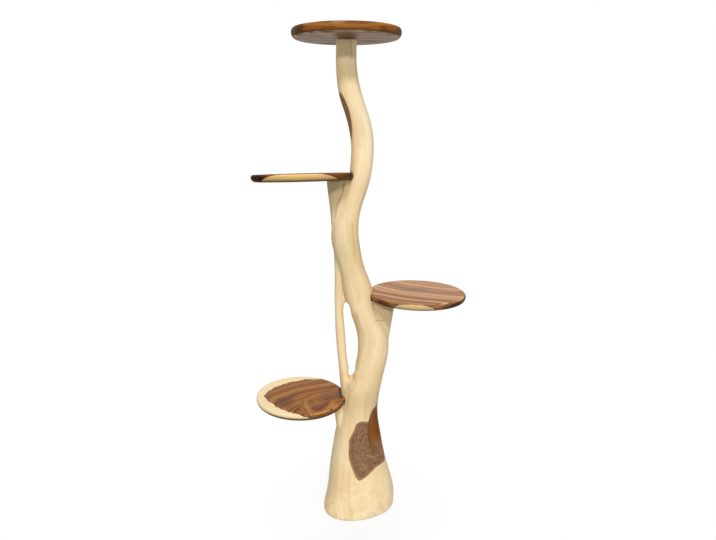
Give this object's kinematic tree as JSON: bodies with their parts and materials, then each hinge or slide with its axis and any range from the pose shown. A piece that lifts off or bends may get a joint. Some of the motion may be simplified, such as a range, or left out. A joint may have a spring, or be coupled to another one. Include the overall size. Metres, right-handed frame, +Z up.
{
  "type": "tree shaped shelf",
  "caption": "Free-standing carved wooden tree trunk with round wooden shelves at staggered heights, for books, plants or ornaments.",
  "frame": {"origin": "on the floor, under the middle of the foot", "axes": "+Z up, -Y towards the front, +X to the right as seen from the front"},
  "size_m": [0.6584, 0.3392, 1.5103],
  "materials": {
    "trunk_wood": "carved and sanded pale sapwood under clear satin lacquer",
    "shelf_wood": "sanded brown heartwood with pale sapwood, under clear satin lacquer",
    "dowel_wood": "turned hardwood, bare",
    "plug_wood": "sanded flush under clear satin lacquer",
    "screw_steel": "zinc plated"
  },
  "bodies": {
    "root": {"trunk": "trunk_wood", "top_shelf": "shelf_wood", "upper_left_shelf": "shelf_wood", "right_shelf": "shelf_wood", "lower_left_shelf": "shelf_wood", "top_shelf_dowel": "dowel_wood", "top_shelf_front_screw": "screw_steel", "top_shelf_front_plug": "plug_wood", "top_shelf_rear_screw": "screw_steel", "top_shelf_rear_plug": "plug_wood", "upper_left_shelf_dowel": "dowel_wood", "upper_left_shelf_front_screw": "screw_steel", "upper_left_shelf_front_plug": "plug_wood", "upper_left_shelf_rear_screw": "screw_steel", "upper_left_shelf_rear_plug": "plug_wood", "right_shelf_dowel": "dowel_wood", "right_shelf_front_screw": "screw_steel", "right_shelf_front_plug": "plug_wood", "right_shelf_rear_screw": "screw_steel", "right_shelf_rear_plug": "plug_wood", "lower_left_shelf_dowel": "dowel_wood", "lower_left_shelf_front_screw": "screw_steel", "lower_left_shelf_front_plug": "plug_wood", "lower_left_shelf_rear_screw": "screw_steel", "lower_left_shelf_rear_plug": "plug_wood"}
  },
  "joints": []
}
